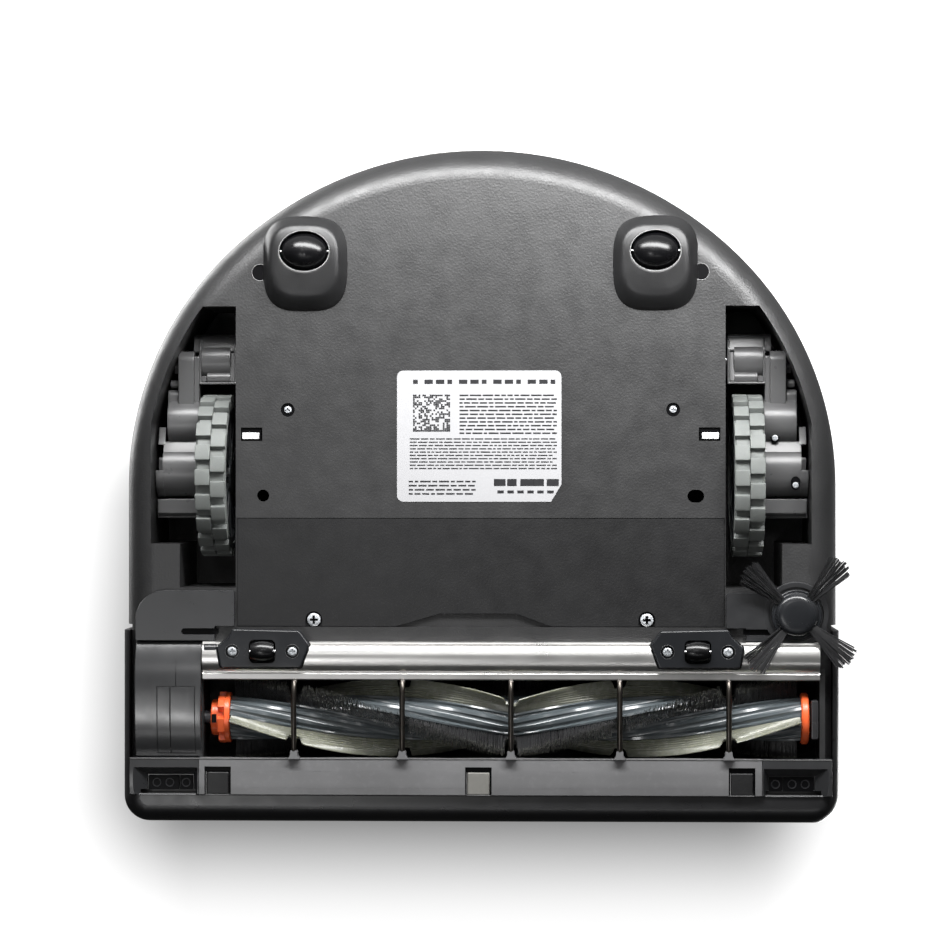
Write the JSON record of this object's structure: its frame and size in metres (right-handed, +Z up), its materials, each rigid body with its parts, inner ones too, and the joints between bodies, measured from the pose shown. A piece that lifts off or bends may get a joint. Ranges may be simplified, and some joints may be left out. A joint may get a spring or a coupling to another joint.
{
  "type": "robot vacuum",
  "caption": "D-shaped floor-cleaning robot with a wide brush behind its flat front, a corner side brush, sprung drive wheels, a sprung bumper and a spinning laser turret.",
  "frame": {"origin": "on the floor, midway between the two drive wheels", "axes": "+Z up; +Y towards the rounded back, so the flat brush end faces -Y; +X to the robot's left"},
  "size_m": [0.3405, 0.3144, 0.1],
  "materials": {
    "belly_plastic": "textured charcoal moulding",
    "cover_plastic": "textured charcoal moulding",
    "deck_plastic": "satin black moulding",
    "bumper_plastic": "satin black moulding",
    "block_plastic": "semi-gloss dark grey moulding",
    "strip_plastic": "semi-gloss grey moulding",
    "guard_metallic": "metallic painted plastic",
    "wire_steel": "drawn wire",
    "pin_steel": "ground pin",
    "screw_zinc": "zinc plated",
    "label_white": "printed film",
    "window_white": "bright diffuser",
    "window_dark": "infrared window",
    "pad_grey": "worn glide pad",
    "battery_wrap": "shrink wrap",
    "board_green": "solder mask",
    "contact_metal": "plated contact",
    "duct_plastic": "moulded duct",
    "motor_can": "drawn can",
    "bin_smoke": "smoked tub",
    "filter_paper": "pleated paper",
    "spring_steel": "spring wire",
    "roller_black": "polished acetal",
    "gearbox_grey": "semi-gloss moulding",
    "hub_grey": "moulded hub",
    "tyre_rubber": "pale grey rubber",
    "brush_tube": "moulded tube",
    "flap_rubber": "translucent thermoplastic rubber",
    "bristle_black": "nylon bristle",
    "cap_orange": "orange moulding",
    "belt_rubber": "toothed belt",
    "hub_black": "satin moulding",
    "tuft_black": "nylon tuft"
  },
  "bodies": {
    "chassis": {"base_pan": "belly_plastic", "battery_cover": "cover_plastic", "underside_screws": "screw_zinc", "battery_pack": "battery_wrap", "rating_label": "label_white", "drop_windows": "window_white", "main_board": "board_green", "charge_contacts": "contact_metal", "exhaust_grille": "deck_plastic", "fan_housing": "duct_plastic", "fan_motor": "motor_can", "top_cover": "deck_plastic", "turret_cap": "deck_plastic", "turret_motor": "motor_can", "front_strip": "strip_plastic", "square_pads": "pad_grey", "cliff_windows": "window_dark", "side_block_left": "block_plastic", "side_block_right": "block_plastic", "gear_cap": "block_plastic", "guard_blocks": "hub_black", "guard_screws": "screw_zinc", "guard_bar": "guard_metallic", "guard_wires": "wire_steel", "guard_pins": "pin_steel", "caster_pins": "pin_steel", "brush_bearing": "motor_can", "brush_motor": "motor_can", "brush_belt": "belt_rubber", "side_brush_motor": "motor_can", "arm_pins": "pin_steel", "arm_springs": "spring_steel", "bumper_springs": "spring_steel"},
    "bumper": {"bumper_skin": "bumper_plastic"},
    "start_button": {"start_button": "bumper_plastic"},
    "spot_button": {"spot_button": "bumper_plastic"},
    "turret": {"turret_head": "hub_black"},
    "bin": {"bin_tub": "bin_smoke"},
    "bin_lid": {"bin_lid": "deck_plastic", "bin_filter": "filter_paper"},
    "impeller": {"fan_impeller": "duct_plastic"},
    "brush": {"brush_core": "brush_tube", "brush_flaps": "flap_rubber", "brush_bristles": "bristle_black", "drive_cap": "cap_orange", "end_disc": "cap_orange", "brush_pulley": "duct_plastic"},
    "motor_pulley": {"motor_pulley": "duct_plastic"},
    "side_brush": {"side_brush_hub": "hub_black", "side_brush_tufts": "tuft_black"},
    "guard_roller_left": {"guard_roller_left": "roller_black"},
    "caster_left": {"caster_roller_left": "roller_black"},
    "arm_left": {"drive_gearbox_left": "gearbox_grey"},
    "wheel_left": {"wheel_hub_left": "hub_grey", "tyre_left": "tyre_rubber"},
    "guard_roller_right": {"guard_roller_right": "roller_black"},
    "caster_right": {"caster_roller_right": "roller_black"},
    "arm_right": {"drive_gearbox_right": "gearbox_grey"},
    "wheel_right": {"wheel_hub_right": "hub_grey", "tyre_right": "tyre_rubber"}
  },
  "joints": [
    {"name": "bumper_press", "type": "slide", "parent": "chassis", "child": "bumper", "axis": [0, 1, 0], "range_m": [0, 0.002], "stiffness_N_per_m": 1200, "springref_m": -0.002, "deforming": ["bumper_springs"]},
    {"name": "start_press", "type": "slide", "parent": "chassis", "child": "start_button", "axis": [0, 0, -1], "range_m": [0, 0.0007], "stiffness_N_per_m": 600, "springref_m": -0.001},
    {"name": "spot_press", "type": "slide", "parent": "chassis", "child": "spot_button", "axis": [0, 0, -1], "range_m": [0, 0.0007], "stiffness_N_per_m": 600, "springref_m": -0.001},
    {"name": "turret_spin", "type": "hinge", "parent": "chassis", "child": "turret", "pos_m": [0, 0.085, 0.085], "axis": [0, 0, 1], "continuous": true},
    {"name": "bin_lift", "type": "slide", "parent": "chassis", "child": "bin", "axis": [0, 0, 1], "range_m": [0, 0.06]},
    {"name": "bin_lid_open", "type": "hinge", "parent": "bin", "child": "bin_lid", "pos_m": [0, -0.146, 0.0818], "axis": [1, 0, 0], "range_deg": [0, 100]},
    {"name": "impeller_spin", "type": "hinge", "parent": "chassis", "child": "impeller", "pos_m": [0.048, 0.022, 0.035], "axis": [0, 0, 1], "continuous": true},
    {"name": "brush_spin", "type": "hinge", "parent": "chassis", "child": "brush", "pos_m": [0, -0.1125, 0.02], "axis": [1, 0, 0], "continuous": true},
    {"name": "motor_pulley_spin", "type": "hinge", "parent": "chassis", "child": "motor_pulley", "pos_m": [0.151, -0.0685, 0.031], "axis": [1, 0, 0], "continuous": true},
    {"name": "side_brush_spin", "type": "hinge", "parent": "chassis", "child": "side_brush", "pos_m": [-0.1455, -0.0639, 0.006], "axis": [0, 0, 1], "continuous": true},
    {"name": "arm_drop_left", "type": "hinge", "parent": "chassis", "child": "arm_left", "pos_m": [0.123, 0.054, 0.042], "axis": [1, 0, 0], "range_deg": [0, 21], "stiffness_Nm_per_rad": 0.3, "springref_deg": 42.97},
    {"name": "wheel_spin_left", "type": "hinge", "parent": "arm_left", "child": "wheel_left", "pos_m": [0.1241, 0, 0.038], "axis": [1, 0, 0], "continuous": true},
    {"name": "caster_spin_left", "type": "hinge", "parent": "chassis", "child": "caster_left", "pos_m": [0.0809, 0.1034, 0.0085], "axis": [1, 0, 0], "continuous": true},
    {"name": "guard_roller_spin_left", "type": "hinge", "parent": "chassis", "child": "guard_roller_left", "pos_m": [0.1002, -0.081, 0.0055], "axis": [1, 0, 0], "continuous": true},
    {"name": "arm_drop_right", "type": "hinge", "parent": "chassis", "child": "arm_right", "pos_m": [-0.123, 0.054, 0.042], "axis": [1, 0, 0], "range_deg": [0, 21], "stiffness_Nm_per_rad": 0.3, "springref_deg": 42.97},
    {"name": "wheel_spin_right", "type": "hinge", "parent": "arm_right", "child": "wheel_right", "pos_m": [-0.1241, 0, 0.038], "axis": [1, 0, 0], "continuous": true},
    {"name": "caster_spin_right", "type": "hinge", "parent": "chassis", "child": "caster_right", "pos_m": [-0.0809, 0.1034, 0.0085], "axis": [1, 0, 0], "continuous": true},
    {"name": "guard_roller_spin_right", "type": "hinge", "parent": "chassis", "child": "guard_roller_right", "pos_m": [-0.1002, -0.081, 0.0055], "axis": [1, 0, 0], "continuous": true}
  ],
  "couplings": [
    {"joint": "motor_pulley_spin", "follows": "brush_spin", "ratio": 1.8}
  ]
}
